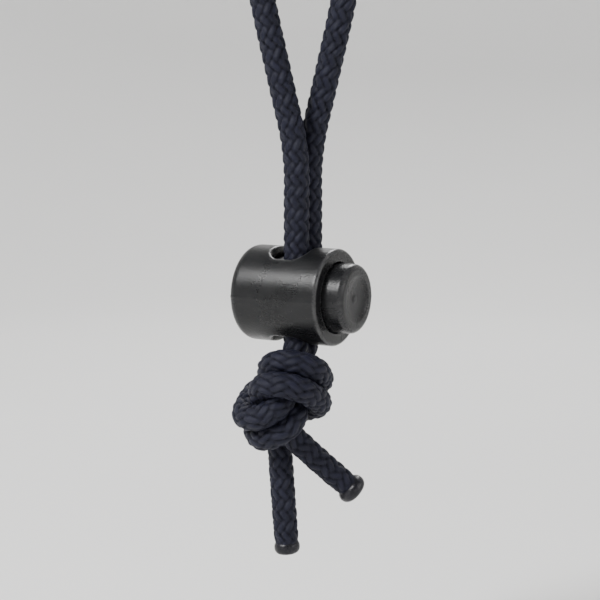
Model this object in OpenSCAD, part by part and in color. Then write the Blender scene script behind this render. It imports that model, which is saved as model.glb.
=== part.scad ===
// Mini spring cord lock on a doubled drawcord, hanging above its stopper knot.
// +Z is up, +X is the way the button points. The origin is the inside top of the cord's loop.

/* [Cord] */
// Diameter of the drawcord
cord_d = 2.6; // [2.2:0.1:2.7]
// Gap between the two strands where they run side by side
strand_gap = 0.1; // [0.05:0.05:0.3]

/* [Barrel] */
// Outer diameter of the barrel
barrel_d = 10; // [9.8:0.1:12]
// Wall between the bore and the outside
barrel_wall = 1.05; // [1:0.05:1.2]
// Thickness of the closed end
floor_t = 1; // [0.8:0.1:1.5]
// Radius that rounds the closed end
end_round = 1.1; // [0.6:0.1:1.5]

/* [Cord slot] */
// Length of the slot along the barrel
slot_l = 4; // [3.8:0.1:4.2]
// Play beside the two strands, on each side
slot_play = 0.15; // [0.1:0.05:0.3]
// Clearance between a strand and each jaw of the closed lock
jaw_play = 0.05; // [0.03:0.01:0.1]

/* [Plunger] */
// Radial clearance of the plunger in the bore
plunger_play = 0.08; // [0.05:0.01:0.1]
// How far the button stands out of the barrel
button_out = 2.2; // [2:0.1:3]
// Wall between the plunger's slot and the spring, which fills the barrel's slot beside the cord
jaw_wall = 1.4; // [1.4:0.1:2]
// Depth of the dish in the button's face
dish_depth = 0.35; // [0.2:0.05:0.5]

/* [Spring] */
// Wire diameter of the spring
wire_d = 0.35; // [0.3:0.05:0.35]
// Outer diameter of the spring
spring_d = 5; // [4.8:0.1:6]
// Turns of the spring, closed ends included
spring_turns = 3; // [3:0.25:4]

/* [Travel] */
// How far the lock slides up the cord
slide_travel = 8; // [4:1:8]

/* [Knot] */
// Widest diameter of the stopper knot
knot_d = 10.8; // [8:0.2:12]
// Height of the stopper knot
knot_h = 10.8; // [8:0.2:12]

/* [Sealed ends] */
// Diameter of the left tail's sealed end
tip_left_d = 2.9; // [2.8:0.1:3.4]
// Diameter of the right tail's sealed end, which is pressed wider
tip_right_d = 3.4; // [2.8:0.1:3.8]

/* [Hidden] */
$fn = 64;
eps = 0.01;

cord_r = cord_d / 2;
strand_y = (cord_d + strand_gap) / 2;
lock_z = -50;

// Along X, everything is measured from the two strands' common plane at x = 0.
jaw_x = cord_r + jaw_play;
slot_w = 2 * (strand_y + cord_r + slot_play);
slot_round = 1.3;
barrel_slot_x = jaw_x - slot_l;
plunger_slot_x = -jaw_x;
press_travel = plunger_slot_x - barrel_slot_x;

barrel_r = barrel_d / 2;
bore_r = barrel_r - barrel_wall;
plunger_r = bore_r - plunger_play;
lip_t = 0.7;
lip_step = 0.3;
lip_r = bore_r - lip_step;
neck_play = 0.1;
neck_r = lip_r - neck_play;
plunger_end_x = plunger_slot_x - jaw_wall;
solid_play = 0.1;
spring_solid_l = spring_turns * wire_d + solid_play;
floor_x = plunger_end_x - press_travel - spring_solid_l;
barrel_end_x = floor_x - floor_t;
// The plunger's shoulder stops just short of the lip.
web_t = 0.7;
shoulder_play = 0.1;
shoulder_x = plunger_slot_x + slot_l + web_t;
seat_x = shoulder_x + shoulder_play;
mouth_x = seat_x + lip_t;
button_x = mouth_x + button_out;
// Chamfers of the plunger's inner end and of its shoulder
nose = 0.3;
brow = 0.15;

boss_r = 1.9;
boss_h = 0.45;
key_w = 0.9;
key_h = 0.28;
key_play = 0.1;

knot_gap = 0.15;
knot_top_z = lock_z - barrel_r - knot_gap;
knot_bottom_z = knot_top_z - knot_h;
// The knot lies a little off the strands' line, as their entry into it does.
knot_x = -1.3;
knot_y = -2.15;
knot_sink = 2.5;
tip_l = 1.3;

// One side of the drawcord, from inside the knot up to the top of the loop. The other side
// is the same route turned half round about Z.
half_route = [
    [0, -strand_y, knot_top_z - knot_sink], [0, -strand_y, -52], [0, -strand_y, -48],
    [0, -strand_y, -44],
    [0, -strand_y, -40], [0, -strand_y, lock_z + barrel_r + slide_travel],
    [-0.4, -1.45, -33.5], [-1.2, -1.65, -30], [-2.1, -1.9, -26], [-3, -2.15, -22],
    [-3.75, -2.4, -18], [-4.3, -2.6, -14], [-4.65, -2.7, -10], [-4.75, -2.75, -6.5],
    [-4.7, -2.7, -3.25], [-4.1, -2.4, -1.45], [-3.05, -1.75, 0], [-1.6, -0.95, 0.95],
    [0, 0, cord_r]
];
loop_route = concat(half_route,
    [for (i = [len(half_route) - 2:-1:0]) [-half_route[i][0], -half_route[i][1], half_route[i][2]]]);
left_route = [[-2.65, -0.45, knot_bottom_z + 0.6], [-2.45, -0.5, -67.5], [-2.2, -0.6, -70],
              [-1.9, -0.7, -73], [-1.5, -0.8, -77]];
right_route = [[0.2, -1.3, knot_bottom_z + 0.6], [1.7, -0.1, -67.4], [3.1, 1.1, -69.1],
               [4.1, 1.9, -70.3]];

lock_color = "#26272a";
button_color = "#303135";
steel_color = "#b9bcc0";
cord_color = "#1b1b26";
seal_color = "#0e0e14";

// ---- Vector and sweep helpers ----

function unit(v) = v / norm(v);
function across(v) = unit(cross(v, abs(v[1]) < 0.9 * norm(v) ? [0, 1, 0] : [1, 0, 0]));
function way(route, i) = unit(route[min(i + 1, len(route) - 1)] - route[max(i - 1, 0)]);

// Side directions of every ring, each turned as little as possible from the one before it.
function sides(route, i = 0, side = undef, made = []) =
    i == len(route) ? made :
    let (w = way(route, i),
         s = is_undef(side) ? across(w) : unit(side - w * (side * w)))
    sides(route, i + 1, s, concat(made, [s]));

// A round tube along a route, with flat ends.
module tube(route, r, n) {
    turned = sides(route);
    rings = len(route);
    points = [for (i = [0:rings - 1]) for (k = [0:n - 1])
        let (w = way(route, i), s = turned[i], t = cross(w, s), a = 360 * k / n)
        route[i] + r * (cos(a) * s + sin(a) * t)];
    walls = [for (i = [0:rings - 2]) for (k = [0:n - 1])
        let (a = i * n + k, b = i * n + (k + 1) % n)
        each [[a, b, b + n], [a, b + n, a + n]]];
    near = [for (k = [n - 1:-1:0]) k];
    far = [for (k = [0:n - 1]) (rings - 1) * n + k];
    polyhedron(points, concat(walls, [near, far]), convexity = 6);
}

// Turns a shape made along +Z so that its +Z points along v, and puts it at p.
module aimed(p, v) {
    translate(p)
        rotate([0, acos(v[2] / norm(v)), atan2(v[1], v[0])])
            children();
}

// ---- Lock helpers. A profile is drawn as [radius, x] and turned about the X axis. ----

module turned_about_x(profile) {
    rotate([0, 90, 0])
        rotate_extrude()
            polygon(profile);
}

// Points of a quarter round from angle a0 to a1 about the centre [cr, cx].
function round_points(cr, cx, r, a0, a1, steps = 8) =
    [for (i = [0:steps]) let (a = a0 + (a1 - a0) * i / steps) [cr + r * cos(a), cx + r * sin(a)]];

module rod_x(r, x0, x1) {
    translate([x0, 0, 0])
        rotate([0, 90, 0])
            cylinder(r = r, h = x1 - x0);
}

// The rounded slot that the two strands pass through, along Z.
module slot_cut(x0, reach) {
    r = slot_round;
    for (sx = [r, slot_l - r]) for (sy = [-1, 1])
        translate([x0 + sx, sy * (slot_w / 2 - r), -reach])
            cylinder(r = r, h = 2 * reach);
    translate([x0 + r, -slot_w / 2, -reach])
        cube([slot_l - 2 * r, slot_w, 2 * reach]);
    translate([x0, -slot_w / 2 + r, -reach])
        cube([slot_l, slot_w - 2 * r, 2 * reach]);
}

// Two guide keys beside the bore, at +Y and -Y.
module keys(x0, x1, w, r) {
    intersection() {
        rod_x(r, x0, x1);
        translate([x0, -r, -w / 2])
            cube([x1 - x0, 2 * r, w]);
    }
}

// ---- Sub-parts ----

module lock_barrel() {
    lip_round = 0.35;
    color(lock_color) translate([0, 0, lock_z])
        difference() {
            turned_about_x(concat(
                [[0, barrel_end_x]],
                round_points(barrel_r - end_round, barrel_end_x + end_round, end_round, -90, 0),
                round_points(barrel_r - lip_round, mouth_x - lip_round, lip_round, 0, 90, 5),
                [[0, mouth_x]]));
            difference() {
                union() {
                    rod_x(bore_r, floor_x, seat_x);
                    keys(floor_x, seat_x, key_w + 2 * key_play,
                         plunger_r + key_h + key_play);
                    rod_x(lip_r, shoulder_x, mouth_x + 1);
                }
                rod_x(boss_r, floor_x - 1, floor_x + boss_h);
            }
            slot_cut(barrel_slot_x, barrel_r + 1);
        }
}

module plunger() {
    face_round = 0.6;
    dish_r = 2.1;
    dish_slope = 0.2;
    color(button_color) translate([0, 0, lock_z])
        difference() {
            union() {
                turned_about_x(concat(
                    [[0, plunger_end_x], [plunger_r - nose, plunger_end_x],
                     [plunger_r, plunger_end_x + nose], [plunger_r, shoulder_x - brow],
                     [neck_r, shoulder_x]],
                    round_points(neck_r - face_round, button_x - face_round, face_round, 0, 90),
                    [[dish_r + dish_slope, button_x], [dish_r, button_x - dish_depth],
                     [0, button_x - dish_depth]]));
                keys(plunger_end_x + nose, shoulder_x - brow, key_w, plunger_r + key_h);
                rod_x(boss_r, plunger_end_x - boss_h, plunger_end_x + eps);
            }
            slot_cut(plunger_slot_x, barrel_r);
        }
}

// Compression spring between the barrel's floor and the plunger, with closed ends.
module spring() {
    length = plunger_end_x - floor_x;
    coil_r = (spring_d - wire_d) / 2;
    closed = 0.75;
    per_turn = 16;
    steps = round(spring_turns * per_turn);
    free = length - wire_d * (1 + 2 * closed);
    function along(t) =
        wire_d * (0.5 + min(t, closed) + max(0, t - (spring_turns - closed)))
        + free * min(max((t - closed) / (spring_turns - 2 * closed), 0), 1);
    coil = [for (i = [0:steps]) let (t = i / per_turn)
        [floor_x + along(t), coil_r * cos(360 * t), coil_r * sin(360 * t)]];
    color(steel_color) translate([0, 0, lock_z])
        tube(coil, wire_d / 2 - 0.01, 8);
}

module drawcord() {
    color(cord_color) tube(loop_route, cord_r, 8);
}

// The knot's outer shape, a squat rounded body.
module stopper_knot() {
    steps = 20;
    flat_share = 0.45;
    top_r = flat_share * knot_d / 2;
    bulge = knot_d / 2 - top_r;
    side = [for (i = [0:steps]) let (a = -90 + 180 * i / steps)
        [top_r + bulge * cos(a), knot_h / 2 * sin(a)]];
    color(cord_color) translate([knot_x, knot_y, (knot_top_z + knot_bottom_z) / 2])
        rotate_extrude()
            polygon(concat([[0, -knot_h / 2]], side, [[0, knot_h / 2]]));
}

module tail(route) {
    color(cord_color) tube(route, cord_r, 8);
}

// A heat-sealed cord end, a little wider than the cord.
module sealed_tip(route, tip_r) {
    last = len(route) - 1;
    bead = 0.5;
    color(seal_color) aimed(route[last], route[last] - route[last - 1])
        rotate_extrude()
            polygon(concat([[0, 0], [cord_r, 0], [tip_r, 0.25]],
                round_points(tip_r - bead, tip_l - bead, bead, 0, 90, 6), [[0, tip_l]]));
}

module tail_left() { tail(left_route); }
module tail_right() { tail(right_route); }
module tip_left() { sealed_tip(left_route, tip_left_d / 2); }
module tip_right() { sealed_tip(right_route, tip_right_d / 2); }

lock_barrel();
plunger();
spring();
drawcord();
stopper_knot();
tail_left();
tail_right();
tip_left();
tip_right();
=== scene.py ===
import math

import bpy
import numpy as np
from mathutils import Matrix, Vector


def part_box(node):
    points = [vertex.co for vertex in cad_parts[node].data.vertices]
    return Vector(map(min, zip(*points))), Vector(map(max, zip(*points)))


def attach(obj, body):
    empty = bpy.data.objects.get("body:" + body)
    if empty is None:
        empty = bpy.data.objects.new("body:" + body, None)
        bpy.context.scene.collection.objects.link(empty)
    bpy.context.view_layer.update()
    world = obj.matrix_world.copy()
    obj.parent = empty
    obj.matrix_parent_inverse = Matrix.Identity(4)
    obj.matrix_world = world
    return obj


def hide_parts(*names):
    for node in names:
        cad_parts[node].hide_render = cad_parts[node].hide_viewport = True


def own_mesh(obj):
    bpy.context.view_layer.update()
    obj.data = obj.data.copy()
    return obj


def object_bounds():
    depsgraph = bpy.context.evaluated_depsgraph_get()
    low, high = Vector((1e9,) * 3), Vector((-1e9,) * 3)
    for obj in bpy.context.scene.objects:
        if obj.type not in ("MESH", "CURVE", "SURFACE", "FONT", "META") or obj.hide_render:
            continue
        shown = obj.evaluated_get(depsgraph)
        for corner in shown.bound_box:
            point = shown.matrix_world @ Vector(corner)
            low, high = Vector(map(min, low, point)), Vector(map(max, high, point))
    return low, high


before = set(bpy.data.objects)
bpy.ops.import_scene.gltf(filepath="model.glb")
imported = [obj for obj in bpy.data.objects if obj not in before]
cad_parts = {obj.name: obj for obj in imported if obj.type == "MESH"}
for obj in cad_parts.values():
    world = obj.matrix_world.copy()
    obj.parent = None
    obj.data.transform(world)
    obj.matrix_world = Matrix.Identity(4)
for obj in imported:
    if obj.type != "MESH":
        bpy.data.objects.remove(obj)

cad_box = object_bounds()
MM = 0.001

# ---------------------------------------------------------------- places, from the frame (mm)


def node_box(node):
    """A CAD node's lowest and highest corner, in millimetres."""
    return [np.array(corner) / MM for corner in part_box(node)]


barrel_lo, barrel_hi = node_box("lock_barrel")
plunger_lo, plunger_hi = node_box("plunger")
LOCK_Z = (barrel_lo[2] + barrel_hi[2]) / 2
KNOT_TOP = node_box("stopper_knot")[1][2]

CORD_D = 2.6
CORD_R = CORD_D / 2
STRAND_Y = 1.35      # each strand's distance from the plane midway between the two

# The camera sees the lock from its button's side, and the loop's top stays above the view.
VIEW_AZIMUTH = math.radians(30)
VIEW_ELEVATION = math.radians(8)
VIEW_HEIGHT = 62.0
VIEW_CENTRE = (-0.2, -0.3, -50.5)
VIEW_LENS = 85.0
SENSOR = 36.0
VIEW_RIGHT = np.array([math.cos(VIEW_AZIMUTH), math.sin(VIEW_AZIMUTH), 0])


def make_camera():
    cam = bpy.data.cameras.new("camera")
    cam.lens = VIEW_LENS
    cam.sensor_width = SENSOR
    cam.clip_start = 0.01
    cam.clip_end = 20
    obj = bpy.data.objects.new("camera", cam)
    bpy.context.scene.collection.objects.link(obj)
    flat = math.cos(VIEW_ELEVATION)
    back = Vector((math.sin(VIEW_AZIMUTH) * flat, -math.cos(VIEW_AZIMUTH) * flat,
                   math.sin(VIEW_ELEVATION)))
    obj.location = Vector(VIEW_CENTRE) * MM + back * (VIEW_HEIGHT * MM * VIEW_LENS / SENSOR)
    obj.rotation_mode = "QUATERNION"
    obj.rotation_quaternion = (-back).to_track_quat("-Z", "Y")
    bpy.context.scene.camera = obj


make_camera()

# ---------------------------------------------------------------- mesh helpers (mm in, metres out)


def add_mesh(name, points, faces):
    """A smooth mesh object from points in millimetres."""
    mesh = bpy.data.meshes.new(name)
    mesh.from_pydata((np.asarray(points) * MM).tolist(), [], [list(map(int, f)) for f in faces])
    mesh.validate()
    mesh.shade_smooth()
    obj = bpy.data.objects.new(name, mesh)
    bpy.context.scene.collection.objects.link(obj)
    return obj


def ring_faces(rings, sides, capped=False):
    """Quads between rings of points that follow each other, and a cap on each end."""
    ring = np.arange(sides)
    start = (np.arange(rings - 1) * sides)[:, None]
    a = (start + ring).ravel()
    b = (start + (ring + 1) % sides).ravel()
    faces = np.stack([a, b, b + sides, a + sides], 1).tolist()
    if capped:
        faces += [ring[::-1].tolist(), (ring + (rings - 1) * sides).tolist()]
    return faces


def paint_points(obj, name, colours):
    """Stores four values a point, for the material to read."""
    layer = obj.data.color_attributes.new(name, "FLOAT_COLOR", "POINT")
    layer.data.foreach_set("color", np.asarray(colours, np.float32).ravel())


def evenly(path, count):
    """The same line with its points evenly spaced."""
    run = np.r_[0, np.cumsum(np.linalg.norm(np.diff(path, axis=0), axis=1))]
    at = np.linspace(0, run[-1], count)
    return np.stack([np.interp(at, run, path[:, k]) for k in range(3)], 1)


def length_of(path):
    return float(np.linalg.norm(np.diff(path, axis=0), axis=1).sum())


def directions(path):
    way = np.gradient(path, axis=0)
    return way / np.linalg.norm(way, axis=1)[:, None]


def carried(path, first):
    """A side direction for every point, turned as little as possible from the one before it."""
    way = directions(path)
    out = [first - way[0] * np.dot(first, way[0])]
    for w in way[1:]:
        v = out[-1] - w * np.dot(out[-1], w)
        out.append(v / np.linalg.norm(v))
    out = np.array(out)
    return out / np.linalg.norm(out, axis=1)[:, None]


def softened(path, rounds):
    """Rounds off small kinks, with the ends held."""
    path = path.copy()
    for _ in range(rounds):
        path[1:-1] += 0.5 * ((path[:-2] + path[2:]) / 2 - path[1:-1])
    return path


def curve_through(points, per_span):
    """A smooth curve (Catmull-Rom) through the points."""
    p = np.array(points, float)
    p = np.vstack([2 * p[0] - p[1], p, 2 * p[-1] - p[-2]])
    t = np.linspace(0, 1, per_span, endpoint=False)[:, None]
    spans = []
    for a, b, c, d in zip(p[:-3], p[1:-2], p[2:-1], p[3:]):
        spans.append(0.5 * (2 * b + (c - a) * t + (2 * a - 5 * b + 4 * c - d) * t**2
                            + (3 * b - a - 3 * c + d) * t**3))
    return np.vstack(spans + [p[-2:-1]])


# ---------------------------------------------------------------- the stopper knot, pulled tight

LOOSE_SPAN = 2.12       # how far the loose knot's formula runs to each side
LOOSE_SIZE = 2.2        # millimetres for one unit of that formula
LOOSE_POINTS = 100
KNOT_POINTS = 130       # points of each strand
IN_KNOT = slice(25, 100)    # the points of a strand that may lie in the knot
STRAIGHT_X = 1.6        # half the width of the straight stretch that leaves it at the top

# The moves of each step, as shares of the move that would cure what they act on
RELAX = 0.3             # every point moves towards the middle of its two neighbours
STEER = 0.3             # a point above the guide's height moves over the guide
PUSH_APART = 1.6        # two points that are too close part, and a point's pushes are averaged
LINK_ROUNDS = 4
DRAW_SHARE = 0.75       # share of the steps that draws the strands in, before the knot settles
NEIGHBOURS = 1.3        # points closer along the strand than this many thicknesses don't collide


def loose_overhand():
    """An open overhand knot in one line, from top to bottom."""
    t = np.linspace(LOOSE_SPAN, -LOOSE_SPAN, 600)
    p = np.stack([2.8 * (t**3 - 3 * t), 2.4 * (t**4 - 4 * t**2 + 1.5), t**5 - 10 * t], 1)
    return evenly(p * LOOSE_SIZE, LOOSE_POINTS)


def pull_tight(strands, thick, length, ends, steps, guide_z, guide_xy):
    """Draws the strands in to the given length, and their tips to the ends, until the knot jams.
    Each is a chain of points. No two points come within thick of each other, apart from
    neighbours on one strand, and above guide_z the strands run straight up over guide_xy."""
    n, count = len(strands[0]), len(strands)
    x = np.concatenate(strands)
    total = n * count
    strand = np.repeat(np.arange(count), n)
    first, last = np.arange(count) * n, np.arange(count) * n + n - 1
    tips = np.concatenate([first, last])
    start, goal = x[tips].copy(), np.array(ends, float)
    link_start = np.linalg.norm(np.diff(strands[0], axis=0), axis=1).mean()
    link_end = length / (n - 1)
    links = np.setdiff1d(np.arange(total), last)
    halves = (links[links % 2 == 0], links[links % 2 == 1])
    inner = np.setdiff1d(np.arange(total), tips)
    one, two = np.triu_indices(total, 1)
    same = strand[one] == strand[two]
    lead = np.array(guide_xy, float)[strand]
    for step in range(steps):
        share = min(1, step / (steps * DRAW_SHARE))
        link = link_start + (link_end - link_start) * share
        held = start + (goal - start) * min(1, 2 * share)
        x[inner] += RELAX * ((x[inner - 1] + x[inner + 1]) / 2 - x[inner])
        for _ in range(LINK_ROUNDS):
            for a in halves:
                gap = x[a + 1] - x[a]
                move = gap * (0.5 - 0.5 * link / np.linalg.norm(gap, axis=1)[:, None])
                x[a] += move
                x[a + 1] -= move
            x[tips] = held
        if share > 0.5:
            x[:, :2] += (lead - x[:, :2]) * np.clip(x[:, 2] - guide_z, 0, 1)[:, None] * STEER
        near = math.ceil(NEIGHBOURS * thick / link)
        apart = ~same | (two - one > near)
        a, b = one[apart], two[apart]
        gap = x[b] - x[a]
        dist = np.sqrt((gap**2).sum(1))
        hit = dist < thick
        a, b, gap, dist = a[hit], b[hit], gap[hit], dist[hit]
        push = gap / dist[:, None] * (thick - dist)[:, None] * 0.5
        hits = np.bincount(a, minlength=total) + np.bincount(b, minlength=total)
        moved = np.stack([np.bincount(b, push[:, k], total) - np.bincount(a, push[:, k], total)
                          for k in range(3)], 1)
        x += moved / np.maximum(1, hits)[:, None] * PUSH_APART
        x[tips] = held
    return [x[s * n:(s + 1) * n] for s in range(count)]


def stopper_knot():
    """The two strands' lines from inside the lock, through the knot and into their tails."""
    # One line as thick as both strands is drawn half tight, and then split into the two.
    line, = pull_tight([loose_overhand()], thick=2.1 * CORD_D, length=90,
                       ends=[[0, 0, 19], [0, 0, -22]], steps=900,
                       guide_z=6.8, guide_xy=[[0, 0]])
    line = evenly(line, KNOT_POINTS)
    side = carried(line, np.array([0, 1.0, 0])) * STRAND_Y
    # The tails' ends lie in the camera's plane: one at 45 degrees, and one almost straight down.
    tops = [[0, STRAND_Y, 13], [0, -STRAND_Y, 13]]
    tails = [7.0 * VIEW_RIGHT + [0, 0, -13.5], -1.6 * VIEW_RIGHT + [0, 0, -19.5]]
    right, left = pull_tight([line + side, line - side], thick=CORD_D, length=57.5,
                             ends=tops + tails, steps=1500,
                             guide_z=3.8, guide_xy=[[0, STRAND_Y], [0, -STRAND_Y]])
    # The highest point that isn't in the straight stretch goes to the top of the CAD knot.
    wraps = np.concatenate([strand[IN_KNOT] for strand in (right, left)])
    bent = wraps[np.abs(wraps[:, 0]) > STRAIGHT_X]
    drop = KNOT_TOP - (bent[:, 2].max() + CORD_R)
    return right + [0, 0, drop], left + [0, 0, drop]


# ---------------------------------------------------------------- the drawcord's route

# One side of the cord above the lock, up to the top of the loop. The other side is the same
# route turned half round about Z.
HALF_ROUTE = [
    (0, -STRAND_Y, -48), (0, -STRAND_Y, -44), (0, -STRAND_Y, -40), (0, -STRAND_Y, -37),
    (-0.4, -1.45, -33.5), (-1.2, -1.65, -30), (-2.1, -1.9, -26), (-3, -2.15, -22),
    (-3.75, -2.4, -18), (-4.3, -2.6, -14), (-4.65, -2.7, -10), (-4.75, -2.75, -6.5),
    (-4.7, -2.7, -3.25), (-4.1, -2.4, -1.45), (-3.05, -1.75, 0), (-1.6, -0.95, 0.95),
    (0, 0, CORD_R),
]
SPAN_POINTS = 12        # points of the curve between two of these
LEFT_TAIL_END_Z = -77.0
RIGHT_TAIL_END_Z = -70.4
ROUTE_POINTS = 900
ROUTE_SOFTENING = 6


def drawcord_route():
    """The whole cord's middle line, from the left tail's end to the right tail's."""
    right, left = stopper_knot()
    right = right[right[:, 2] < LOCK_Z]
    left = left[left[:, 2] < LOCK_Z]
    right = right[: np.argmax((right[:, 2] < RIGHT_TAIL_END_Z) & (right[:, 0] > 2))]
    left = left[: np.argmax(left[:, 2] < LEFT_TAIL_END_Z)]
    loop = HALF_ROUTE + [(-x, -y, z) for x, y, z in HALF_ROUTE[-2::-1]]
    whole = evenly(np.vstack([left[::-1], curve_through(loop, SPAN_POINTS), right]), ROUTE_POINTS)
    return evenly(softened(whole, ROUTE_SOFTENING), ROUTE_POINTS)


route = drawcord_route()
ROUTE_LENGTH = length_of(route)

# ---------------------------------------------------------------- the braided cord

YARNS = 8            # yarns in each direction, sixteen in all
YARN_STEP = 1.15     # travel along the cord from one yarn to the next
SIDES = 56           # points round the cord
RING_STEP = 0.13     # travel along the cord from one ring of points to the next
YARN_RISE = 0.145    # how far a yarn rises over the one that it crosses
YARN_CROWN = 0.22    # how far a yarn's middle stands over its edges
BRAID_PROUD = 0.04   # the yarns' crowns stand over the cord's nominal surface
MELT_LENGTH = 1.6    # the braid runs smooth over this length at each sealed end
MELT_SHRINK = 0.1    # how far it draws in there
PRESS_GAP = 0.01     # what is left between a pressed length and the plane it is pressed to


def weave(across, partner):
    """A yarn goes over two yarns and under two."""
    return np.clip(1.5 * np.sin(np.pi / 2 * (across + np.floor(partner))), -1, 1)


def braid(turn, along):
    """Height of the braid's surface over its lowest point, each spot's place across its yarn,
    and a number for the yarn."""
    u = YARNS * turn / (2 * np.pi) + along / YARN_STEP
    v = -YARNS * turn / (2 * np.pi) + along / YARN_STEP
    crown_u = YARN_CROWN * np.sqrt(np.clip(1 - (2 * (u % 1) - 1) ** 2, 0, 1))
    crown_v = YARN_CROWN * np.sqrt(np.clip(1 - (2 * (v % 1) - 1) ** 2, 0, 1))
    high_u = crown_u + YARN_RISE * weave(v, u)
    high_v = crown_v - YARN_RISE * weave(u, v)
    over = high_u > high_v
    height = np.maximum(high_u, high_v) + YARN_RISE
    across = np.where(over, u % 1, v % 1)
    yarn = np.where(over, np.floor(u) % YARNS, YARNS + np.floor(v) % YARNS)
    return height, across, yarn


def cord_tube():
    """The braided mesh along the whole route, and its middle line."""
    count = int(ROUTE_LENGTH / RING_STEP)
    line = evenly(route, count)
    way = directions(line)
    side = carried(line, np.array([1.0, 0, 0]))
    other = np.cross(way, side)
    along = np.linspace(0, ROUTE_LENGTH, count)
    turn = np.linspace(0, 2 * np.pi, SIDES, endpoint=False)
    grid_turn, grid_along = np.meshgrid(turn, along)
    height, across, yarn = braid(grid_turn, grid_along)
    top = YARN_CROWN + 2 * YARN_RISE
    to_end = np.minimum(along, ROUTE_LENGTH - along)[:, None]
    melted = np.clip(1 - to_end / MELT_LENGTH, 0, 1) ** 2
    radius = CORD_R + (BRAID_PROUD - top + height) * (1 - melted) - MELT_SHRINK * melted
    out = (np.cos(grid_turn)[..., None] * side[:, None]
           + np.sin(grid_turn)[..., None] * other[:, None])
    points = line[:, None] + radius[..., None] * out
    points = pressed_together(points, line, along)
    obj = add_mesh("drawcord_braid", points.reshape(-1, 3), ring_faces(count, SIDES, capped=True))
    spare = np.zeros_like(across)
    paint_points(obj, "braid", np.stack([across, yarn / (2 * YARNS), spare, height / top], -1))
    return obj, line


def pressed_together(points, line, along):
    """Where two lengths of the cord press on each other, both are flattened to the plane
    midway between them."""
    others, others_along = line[::4], along[::4]
    out = points.copy()
    for k, here in enumerate(line):
        # In diameters: how far apart along the cord two lengths are, and how close, to press.
        apart, reach = (1.3, 1.15) if here[2] < KNOT_TOP + 1 else (2, 1.02)
        close = np.abs(others_along - along[k]) > apart * CORD_D
        close &= ((others - here) ** 2).sum(1) < (reach * CORD_D) ** 2
        for centre in others[close]:
            dist = np.linalg.norm(centre - here)
            normal = (centre - here) / dist
            over = (out[k] - here) @ normal - (dist / 2 - PRESS_GAP)
            out[k] -= np.maximum(over, 0)[:, None] * normal
    return out


cord_obj, cord_line = cord_tube()
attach(cord_obj, "drawcord")
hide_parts("drawcord", "stopper_knot", "tail_left", "tail_right")

# ---------------------------------------------------------------- the cord's sealed ends

BEAD_LAP = 0.35      # how far a bead reaches back over the braid
BEAD_ROUNDING = 0.42 # 1 makes it a ball, and 0 a flat disc
BEAD_LUMPS = 0.035   # height of its lumps, as a share of its radius


def sealed_end(name, node, centre, way, radius, length, seed):
    """A melted, pressed cord end: a squat bead with a lip, slightly lumpy."""
    rings, sides = 26, 48
    way = way / np.linalg.norm(way)
    side = np.cross(way, [0, 1.0, 0])
    side /= np.linalg.norm(side)
    other = np.cross(way, side)
    rng = np.random.default_rng(seed)
    waves = rng.uniform(-1, 1, (5, 3))
    points = []
    for i in range(rings):
        t = i / (rings - 1)
        a = math.pi * t
        reach = -BEAD_LAP + (length + BEAD_LAP) * (1 - math.cos(a)) / 2
        girth = radius * math.sin(a) ** BEAD_ROUNDING if 0 < t < 1 else 0.0
        for k in range(sides):
            turn = 2 * math.pi * k / sides
            lump = sum(w[0] * math.cos((j + 2) * turn + 3 * w[1] + 4 * t * w[2])
                       for j, w in enumerate(waves)) / 5
            r = girth * (1 - BEAD_LUMPS + BEAD_LUMPS * lump)
            out = math.cos(turn) * side + math.sin(turn) * other
            points.append(centre + way * reach + r * out)
    obj = add_mesh(name, points, ring_faces(rings, sides))
    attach(obj, "drawcord")
    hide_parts(node)
    return obj


tip_left = sealed_end("tip_left_bead", "tip_left", cord_line[0], cord_line[0] - cord_line[8],
                      radius=1.42, length=1.15, seed=3)
tip_right = sealed_end("tip_right_bead", "tip_right", cord_line[-1], cord_line[-1] - cord_line[-9],
                       radius=1.66, length=1.2, seed=5)

# ---------------------------------------------------------------- moulded parts, as distance fields

# The same sizes as in the CAD: walls and clearances, and then the places that follow from them
SLOT_LENGTH, SLOT_WIDTH, SLOT_ROUND = 4.0, 5.6, 1.3
JAW_PLAY = 0.05
BARREL_WALL = 1.05
FLOOR_T = 1.0
PLUNGER_PLAY = 0.08
LIP_STEP = 0.3
NECK_PLAY = 0.1
SHOULDER_DEPTH = 0.8     # the plunger's shoulder lies this far inside the barrel's mouth
SHOULDER_PLAY = 0.1
BOSS_R, BOSS_H = 1.9, 0.45
KEY_H, KEY_HALF_W = 0.28, 0.45
GROOVE_H, GROOVE_HALF_W = 0.38, 0.55
DISH_DEPTH = 0.35

JAW_X = CORD_R + JAW_PLAY
BARREL_SLOT_X = JAW_X - SLOT_LENGTH
PLUNGER_SLOT_X = -JAW_X
BARREL_R = (barrel_hi[2] - barrel_lo[2]) / 2
BORE_R = BARREL_R - BARREL_WALL
PLUNGER_R = BORE_R - PLUNGER_PLAY
LIP_R = BORE_R - LIP_STEP
NECK_R = LIP_R - NECK_PLAY
MOUTH_X = barrel_hi[0]
END_X = barrel_lo[0]
FLOOR_X = END_X + FLOOR_T
SHOULDER_X = MOUTH_X - SHOULDER_DEPTH
PLUNGER_END_X = plunger_lo[0] + BOSS_H
BUTTON_X = plunger_hi[0]

SURFACE_STEP = 0.1       # the mesh's grid
EDGE_REACH = 0.3         # distance over which a bend in the surface is measured
EDGE_STARTS = 1.1        # bend at which the wear starts
EDGE_FULL = 3.5          # bend at which it is full
LINE_WIDTH = 0.13        # of the moulding lines
BARREL_LINE = 0.04       # height of the barrel's
PLUNGER_LINE = 0.025


def both(a, b, soft):
    """The space inside both fields, with its inner edge rounded by soft."""
    h = np.clip(0.5 - 0.5 * (b - a) / soft, 0, 1)
    return b + (a - b) * h + soft * h * (1 - h)


def either(a, b, soft):
    return -both(-a, -b, soft)


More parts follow.
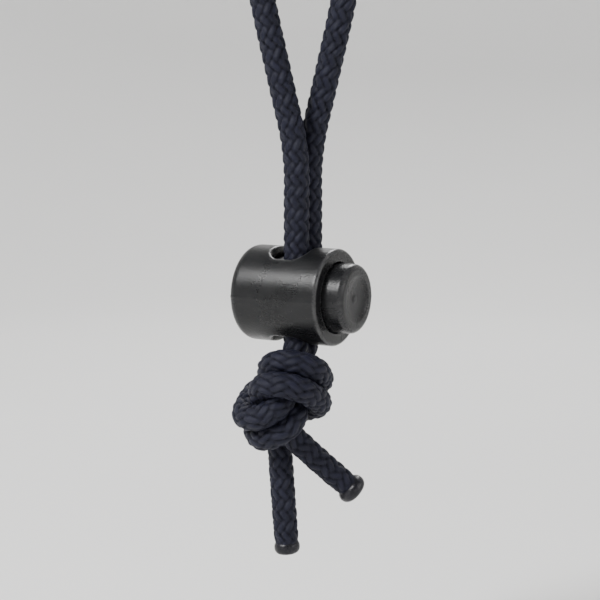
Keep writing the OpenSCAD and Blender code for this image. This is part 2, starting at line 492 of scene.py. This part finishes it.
def without(a, b, soft):
    return both(a, -b, soft)


def cornered(a, b):
    """The space inside two planes at right angles, as a true distance at the corner too."""
    return np.hypot(np.maximum(a, 0), np.maximum(b, 0)) + np.minimum(np.maximum(a, b), 0)


def rod(p, r, x0, x1, round_0=0.0, round_1=0.0):
    """A cylinder along X, with its two rims rounded by round_0 and round_1."""
    middle, half = (x0 + x1) / 2, (x1 - x0) / 2
    edge = np.where(p[..., 0] < middle, round_0, round_1)
    out = np.abs(p[..., 0] - middle) - (half - edge)
    up = np.hypot(p[..., 1], p[..., 2]) - (r - edge)
    return cornered(out, up) - edge


def block(p, centre, half):
    """A box with its faces square to the axes."""
    q = np.abs(p - np.array(centre)) - np.array(half)
    return np.linalg.norm(np.maximum(q, 0), axis=-1) + np.minimum(q.max(-1), 0)


def slot_field(p, x0):
    """The rounded slot along Z that the strands pass through."""
    qx = np.abs(p[..., 0] - (x0 + SLOT_LENGTH / 2)) - (SLOT_LENGTH / 2 - SLOT_ROUND)
    qy = np.abs(p[..., 1]) - (SLOT_WIDTH / 2 - SLOT_ROUND)
    return cornered(qx, qy) - SLOT_ROUND


def moulding_line(p, rise):
    """The ridge down both sides where the mould's halves met."""
    return rise * np.exp(-(p[..., 2] / LINE_WIDTH) ** 2)


def barrel_field(p):
    body = rod(p, BARREL_R, END_X, MOUTH_X, 1.1, 0.35) - moulding_line(p, BARREL_LINE)
    # The closed end has a shallow round sink, with the gate's stub in its middle.
    r = np.hypot(p[..., 1], p[..., 2])
    sink = 0.16 * np.exp(-(r / 0.9) ** 6)
    stub = 0.14 * np.exp(-(r / 0.32) ** 4)
    body = np.maximum(body, END_X + sink - stub - p[..., 0])
    seat_x = SHOULDER_X + SHOULDER_PLAY
    bore = either(rod(p, BORE_R, FLOOR_X, seat_x), rod(p, LIP_R, SHOULDER_X, MOUTH_X + 1), 0.05)
    grooves = block(p, [(FLOOR_X + SHOULDER_X) / 2, 0, 0],
                    [(seat_x - FLOOR_X) / 2, PLUNGER_R + GROOVE_H, GROOVE_HALF_W])
    bore = either(bore, grooves, 0.1)
    bore = without(bore, rod(p, BOSS_R, FLOOR_X - 1, FLOOR_X + BOSS_H), 0.15)
    body = without(body, bore, 0.12)
    return without(body, slot_field(p, BARREL_SLOT_X), 0.4)


def plunger_field(p):
    body = rod(p, PLUNGER_R, PLUNGER_END_X, SHOULDER_X, 0.3, 0.15)
    body = either(body, rod(p, NECK_R, PLUNGER_END_X + 1, BUTTON_X, 0.1, 0.6), 0.08)
    keys = block(p, [(PLUNGER_END_X + SHOULDER_X) / 2 + 0.1, 0, 0],
                 [(SHOULDER_X - PLUNGER_END_X) / 2 - 0.3, PLUNGER_R + KEY_H, KEY_HALF_W])
    body = either(body, keys, 0.1) - moulding_line(p, PLUNGER_LINE)
    boss = rod(p, BOSS_R, PLUNGER_END_X - BOSS_H, PLUNGER_END_X + 1, 0.15)
    body = either(body, boss, 0.15)
    body = without(body, slot_field(p, PLUNGER_SLOT_X), 0.35)
    # The button's face is dished, with the gate's small stub in its middle.
    r = np.hypot(p[..., 1], p[..., 2])
    dish = DISH_DEPTH * np.clip(1 - (r / 2.4) ** 4, 0, 1) - 0.12 * np.exp(-(r / 0.4) ** 4)
    return np.maximum(body, p[..., 0] - (BUTTON_X - dish))


def surface(name, field, lo, hi, step):
    """A closed mesh of the field's zero surface. Every grid cell that it crosses gets one point,
    and each crossed grid edge joins the four cells round it with a quad."""
    lo = np.array(lo, float)
    axes = [np.arange(lo[k], hi[k] + step, step) for k in range(3)]
    dist = field(np.stack(np.meshgrid(*axes, indexing="ij"), -1))
    shape = np.array(dist.shape)
    total = int(shape.prod())
    weight = np.zeros(total)
    place = np.zeros((total, 3))
    quads = []
    strides = np.array([shape[1] * shape[2], shape[2], 1])
    for axis in range(3):
        u, v = (axis + 1) % 3, (axis + 2) % 3
        near = np.take(dist, range(shape[axis] - 1), axis)
        far = np.take(dist, range(1, shape[axis]), axis)
        crossed = (near < 0) != (far < 0)
        edge = np.argwhere(crossed)
        near, far = near[crossed], far[crossed]
        at = edge.astype(float)
        at[:, axis] += near / (near - far)
        inside_first = near < 0
        cells = []
        for du, dv in ((0, 0), (-1, 0), (-1, -1), (0, -1)):
            cell = edge.copy()
            cell[:, u] += du
            cell[:, v] += dv
            cells.append(cell @ strides)
        cells = np.stack(cells, 1)
        for k in range(4):
            weight += np.bincount(cells[:, k], minlength=total)
            for c in range(3):
                place[:, c] += np.bincount(cells[:, k], at[:, c], total)
        quads.append(np.where(inside_first[:, None], cells, cells[:, ::-1]))
    quads = np.concatenate(quads)
    used = np.unique(quads)
    points = lo + step * place[used] / weight[used][:, None]
    # Each point moves along the field's slope onto the surface itself.
    small = step * 0.25
    for _ in range(3):
        value = field(points)
        slope = np.stack([(field(points + small * e) - field(points - small * e)) / (2 * small)
                          for e in np.eye(3)], 1)
        move = value[:, None] * slope / np.maximum((slope**2).sum(1), 0.2)[:, None]
        points -= np.clip(move, -step / 2, step / 2)
    obj = add_mesh(name, points + [0, 0, LOCK_Z], np.searchsorted(used, quads))
    # Where the surface bends outward sharply is an edge, for the material's wear.
    around = sum(field(points + EDGE_REACH * e) + field(points - EDGE_REACH * e) for e in np.eye(3))
    bend = around / EDGE_REACH**2
    edge = np.clip((bend - EDGE_STARTS) / (EDGE_FULL - EDGE_STARTS), 0, 1)
    paint_points(obj, "edge", edge[:, None] * [1, 1, 1, 0] + [0, 0, 0, 1])
    return obj


def moulded_parts():
    pad = 0.25
    reach = BARREL_R + pad
    barrel = surface("lock_barrel_shell", barrel_field, [END_X - pad, -reach, -reach],
                     [MOUTH_X + pad, reach, reach], SURFACE_STEP)
    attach(barrel, "lock")
    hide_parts("lock_barrel")
    reach = PLUNGER_R + KEY_H + pad
    plunger = surface("plunger_button", plunger_field, [plunger_lo[0] - pad, -reach, -reach],
                      [BUTTON_X + pad, reach, reach], SURFACE_STEP)
    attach(plunger, "plunger")
    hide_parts("plunger")
    return barrel, plunger


barrel_obj, plunger_obj = moulded_parts()

# ---------------------------------------------------------------- the spring

SPRING_D, WIRE_D, SPRING_TURNS, CLOSED_TURNS = 5.0, 0.35, 3, 0.75
SPRING_GAP = 0.01        # keeps its closed turns apart


def spring_coil():
    """A compression spring with closed ends, between the barrel's floor and the plunger."""
    steps, sides = 260, 12
    t = np.linspace(0, SPRING_TURNS, steps)
    length = PLUNGER_END_X - FLOOR_X
    free = length - WIRE_D * (1 + 2 * CLOSED_TURNS)
    climb = WIRE_D * (0.5 + np.minimum(t, CLOSED_TURNS)
                      + np.maximum(0, t - (SPRING_TURNS - CLOSED_TURNS)))
    open_share = np.clip((t - CLOSED_TURNS) / (SPRING_TURNS - 2 * CLOSED_TURNS), 0, 1)
    x = FLOOR_X + climb + free * open_share
    coil_r = (SPRING_D - WIRE_D) / 2
    turn = 2 * np.pi * t
    line = np.stack([x, coil_r * np.cos(turn), LOCK_Z + coil_r * np.sin(turn)], 1)
    way = directions(line)
    out = np.stack([np.zeros(steps), np.cos(turn), np.sin(turn)], 1)
    side = out - way * (out * way).sum(1)[:, None]
    side /= np.linalg.norm(side, axis=1)[:, None]
    other = np.cross(way, side)
    a = np.linspace(0, 2 * np.pi, sides, endpoint=False)
    r = WIRE_D / 2 - SPRING_GAP
    round_wire = np.cos(a)[:, None] * side[:, None] + np.sin(a)[:, None] * other[:, None]
    points = line[:, None] + r * round_wire
    obj = add_mesh("spring_coil", points.reshape(-1, 3), ring_faces(steps, sides, capped=True))
    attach(obj, "lock")
    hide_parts("spring")
    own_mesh(obj)
    return obj


spring_obj = spring_coil()

# ---------------------------------------------------------------- materials


class Nodes:
    """A material's node tree, with short calls to add and join nodes."""

    def __init__(self, name):
        self.material = bpy.data.materials.new(name)
        self.material.use_nodes = True
        self.tree = self.material.node_tree
        self.shader = self.tree.nodes["Principled BSDF"]

    def add(self, kind, values=(), **settings):
        node = self.tree.nodes.new(kind)
        for key, value in settings.items():
            setattr(node, key, value)
        for key, value in dict(values).items():
            node.inputs[key].default_value = value
        return node

    def join(self, source, target):
        self.tree.links.new(source, target)

    def math(self, operation, a, b=None, clamp=False):
        """A Math node's output. a and b are each a number or an output."""
        node = self.add("ShaderNodeMath", operation=operation, use_clamp=clamp)
        for k, value in enumerate((a, b)):
            if isinstance(value, (int, float)):
                node.inputs[k].default_value = value
            elif value is not None:
                self.join(value, node.inputs[k])
        return node.outputs[0]

    def mix(self, share, a, b):
        """A colour between a and b, each a colour or an output."""
        node = self.add("ShaderNodeMix", data_type="RGBA")
        for socket, value in ((node.inputs[0], share), (node.inputs[6], a), (node.inputs[7], b)):
            if isinstance(value, tuple):
                socket.default_value = (*value, 1)
            elif isinstance(value, (int, float)):
                socket.default_value = value
            else:
                self.join(value, socket)
        return node.outputs[2]

    def noise(self, scale, detail=3.0, roughness=0.55, stretch=None):
        """Noise in the object's own space. scale is in features a metre."""
        place = self.add("ShaderNodeTexCoord").outputs["Object"]
        if stretch:
            mapping = self.add("ShaderNodeMapping", {"Scale": stretch})
            self.join(place, mapping.inputs["Vector"])
            place = mapping.outputs[0]
        node = self.add("ShaderNodeTexNoise", {"Scale": scale, "Detail": detail,
                                               "Roughness": roughness})
        self.join(place, node.inputs["Vector"])
        return node.outputs["Fac"]

    def ramp(self, value, low, high, out_low=0.0, out_high=1.0):
        """An output that runs from out_low to out_high while value runs from low to high."""
        node = self.add("ShaderNodeMapRange", {"From Min": low, "From Max": high,
                                               "To Min": out_low, "To Max": out_high})
        self.join(value, node.inputs["Value"])
        return node.outputs[0]

    def bump(self, heights):
        """Bumps from (height output, depth in metres) pairs, one on the other."""
        normal = None
        for height, depth in heights:
            node = self.add("ShaderNodeBump", {"Strength": 1.0, "Distance": depth})
            self.join(height, node.inputs["Height"])
            if normal:
                self.join(normal, node.inputs["Normal"])
            normal = node.outputs[0]
        self.join(normal, self.shader.inputs["Normal"])


def set_shader(nodes, **values):
    for key, value in values.items():
        nodes.shader.inputs[key.replace("_", " ")].default_value = value


DUST_GREY = (0.35, 0.34, 0.33)

# The yarns' colours, from the darkest yarn to the lightest, and their filaments'; the last is
# painted shade for the gaps between the yarns
YARN_DARK = (0.0038, 0.0042, 0.0115)
YARN_LIGHT = (0.0070, 0.0076, 0.0190)
YARN_FIBRE = (0.013, 0.014, 0.029)
YARN_GAP_SHADE = (0.0015, 0.0015, 0.003)


def moulded_plastic(name, colour, worn, roughness):
    """Near-black moulded acetal: a fine spark-eroded texture, soft wear, and a little dust."""
    n = Nodes(name)
    blotch = n.noise(350, 4)
    grain = n.noise(5500, 3, 0.65)
    scuff = n.noise(1600, 5, 0.7, (1, 4, 4))
    edge = n.add("ShaderNodeAttribute", attribute_name="edge").outputs["Fac"]
    patches = n.ramp(n.noise(900, 4, 0.65), 0.35, 0.65, 0.25, 1.0)
    rubbed = n.math("MULTIPLY", n.ramp(edge, 0.1, 0.9), patches)
    dust = n.ramp(n.noise(5200, 1), 0.74, 0.8)
    tone = n.mix(n.ramp(blotch, 0.35, 0.65), colour, tuple(c * 1.25 for c in colour))
    tone = n.mix(n.math("MULTIPLY", n.ramp(scuff, 0.55, 0.75), 0.12), tone, worn)
    tone = n.mix(n.math("MULTIPLY", rubbed, 0.8), tone, worn)
    tone = n.mix(n.math("MULTIPLY", dust, 0.12), tone, DUST_GREY)
    n.join(tone, n.shader.inputs["Base Color"])
    rough = n.math("ADD", n.ramp(blotch, 0.3, 0.7, roughness - 0.05, roughness + 0.06),
                   n.ramp(scuff, 0.5, 0.8, 0, 0.12))
    rough = n.math("SUBTRACT", rough, n.math("MULTIPLY", rubbed, 0.08))
    n.join(rough, n.shader.inputs["Roughness"])
    n.bump([(grain, 0.000025), (scuff, 0.000004)])
    set_shader(n, IOR=1.48, Specular_IOR_Level=0.28)
    return n.material


def braided_yarn():
    """Near-black navy polyester yarn, with painted shade in the gaps between the yarns, and fine
    filaments along each yarn.
    """
    n = Nodes("braided_yarn")
    data = n.add("ShaderNodeAttribute", attribute_name="braid")
    split = n.add("ShaderNodeSeparateColor")
    n.join(data.outputs["Color"], split.inputs[0])
    across, yarn = split.outputs[0], split.outputs[1]
    height = data.outputs["Alpha"]
    fibre_noise = n.noise(2600, 2)
    wander = n.math("MULTIPLY", fibre_noise, 2.4)
    fibre = n.math("SINE", n.math("ADD", n.math("MULTIPLY", across, 44.0), wander))
    fibre = n.math("ADD", n.math("MULTIPLY", fibre, 0.5), 0.5)
    pick = n.math("FRACT", n.math("MULTIPLY", yarn, 37.3))
    tone = n.mix(n.math("MULTIPLY", pick, 0.6), YARN_DARK, YARN_LIGHT)
    tone = n.mix(n.math("MULTIPLY", fibre, 0.35), tone, YARN_FIBRE)
    # Painted shade: the colour darkens where the braid's surface is low, in the gaps between the
    # yarns
    gap = n.ramp(height, 0.4, 0.9, 1.0, 0.0)
    tone = n.mix(n.math("MULTIPLY", gap, 0.8), tone, YARN_GAP_SHADE)
    n.join(tone, n.shader.inputs["Base Color"])
    n.join(n.math("ADD", n.ramp(fibre, 0, 1, 0.5, 0.62), n.math("MULTIPLY", gap, 0.35), True),
           n.shader.inputs["Roughness"])
    n.bump([(fibre, 0.00002), (fibre_noise, 0.00003)])
    set_shader(n, Sheen_Weight=0.015, Sheen_Roughness=0.35, Specular_IOR_Level=0.21)
    n.shader.inputs["Sheen Tint"].default_value = (0.55, 0.6, 0.8, 1)
    return n.material


def melted_yarn():
    """Yarn melted into a hard, glassy bead with a scorched, uneven surface."""
    n = Nodes("melted_yarn")
    lumps = n.noise(1500, 4, 0.6)
    fine = n.noise(7000, 2)
    n.join(n.mix(n.ramp(lumps, 0.35, 0.7), (0.0025, 0.0025, 0.0045), (0.009, 0.0085, 0.013)),
           n.shader.inputs["Base Color"])
    n.join(n.ramp(fine, 0.3, 0.7, 0.24, 0.44), n.shader.inputs["Roughness"])
    n.bump([(lumps, 0.00008), (fine, 0.00001)])
    set_shader(n, IOR=1.5, Specular_IOR_Level=0.3)
    return n.material


def spring_wire():
    n = Nodes("spring_wire")
    drawn = n.noise(2500, 3, 0.6, (1, 1, 6))
    n.join(n.mix(n.ramp(drawn, 0.3, 0.7), (0.50, 0.50, 0.52), (0.66, 0.66, 0.67)),
           n.shader.inputs["Base Color"])
    n.join(n.ramp(drawn, 0.3, 0.7, 0.22, 0.38), n.shader.inputs["Roughness"])
    n.bump([(drawn, 0.000006)])
    set_shader(n, Metallic=1.0)
    return n.material


def dress(obj, material):
    obj.data.materials.clear()
    obj.data.materials.append(material)


dress(barrel_obj, moulded_plastic("barrel_acetal", colour=(0.0058, 0.0060, 0.0066),
                                  worn=(0.070, 0.070, 0.072), roughness=0.29))
dress(plunger_obj, moulded_plastic("button_acetal", colour=(0.0070, 0.0072, 0.0080),
                                   worn=(0.075, 0.075, 0.077), roughness=0.27))
dress(cord_obj, braided_yarn())
seal_material = melted_yarn()
dress(tip_left, seal_material)
dress(tip_right, seal_material)
dress(spring_obj, spring_wire())

# ---------------------------------------------------------------- stage and light

FLOOR_Z = cad_box[0][2] / MM - 16
FLOOR_RADIUS = 300       # of the flat part
WALL_BEND = 260          # radius of the curve up into the wall
WALL_TOP = 900


def make_stage():
    """A pale round floor that curves up into a wall on every side."""
    sides = 96
    profile = [(0, 0), (FLOOR_RADIUS, 0)]
    profile += [(FLOOR_RADIUS + WALL_BEND * math.sin(a), WALL_BEND - WALL_BEND * math.cos(a))
                for a in np.linspace(0.1, math.pi / 2, 16)]
    profile += [(FLOOR_RADIUS + WALL_BEND, WALL_TOP)]
    points = []
    for r, z in profile:
        for k in range(sides):
            a = 2 * math.pi * k / sides
            points.append((r * math.cos(a), r * math.sin(a), FLOOR_Z + z))
    obj = add_mesh("floor", points, ring_faces(len(profile), sides))
    n = Nodes("pale_floor")
    n.join(n.mix(n.noise(12, 2), (0.80, 0.795, 0.785), (0.84, 0.835, 0.825)),
           n.shader.inputs["Base Color"])
    set_shader(n, Roughness=0.9, Specular_IOR_Level=0.2)
    dress(obj, n.material)


def area_light(name, azimuth, elevation, distance, size, power):
    """A round light that faces the lock. Azimuth 0 is in front, and 90 is on the +X side."""
    light = bpy.data.lights.new(name, "AREA")
    light.shape = "DISK"
    light.size = size
    light.energy = power
    obj = bpy.data.objects.new(name, light)
    bpy.context.scene.collection.objects.link(obj)
    a, e = math.radians(azimuth), math.radians(elevation)
    way = Vector((math.sin(a) * math.cos(e), -math.cos(a) * math.cos(e), math.sin(e)))
    obj.location = Vector((0, 0, LOCK_Z * MM)) + way * distance
    obj.rotation_mode = "QUATERNION"
    obj.rotation_quaternion = way.to_track_quat("Z", "Y")


def make_light():
    world = bpy.data.worlds.new("studio")
    world.use_nodes = True
    background = world.node_tree.nodes["Background"]
    background.inputs["Color"].default_value = (0.95, 0.97, 1.0, 1)
    background.inputs["Strength"].default_value = 0.5
    bpy.context.scene.world = world
    area_light("key", azimuth=-25, elevation=42, distance=0.42, size=0.13, power=2.5)
    area_light("fill", azimuth=95, elevation=18, distance=0.42, size=0.20, power=0.5)
    area_light("rim", azimuth=200, elevation=38, distance=0.40, size=0.14, power=0.75)


make_stage()
make_light()
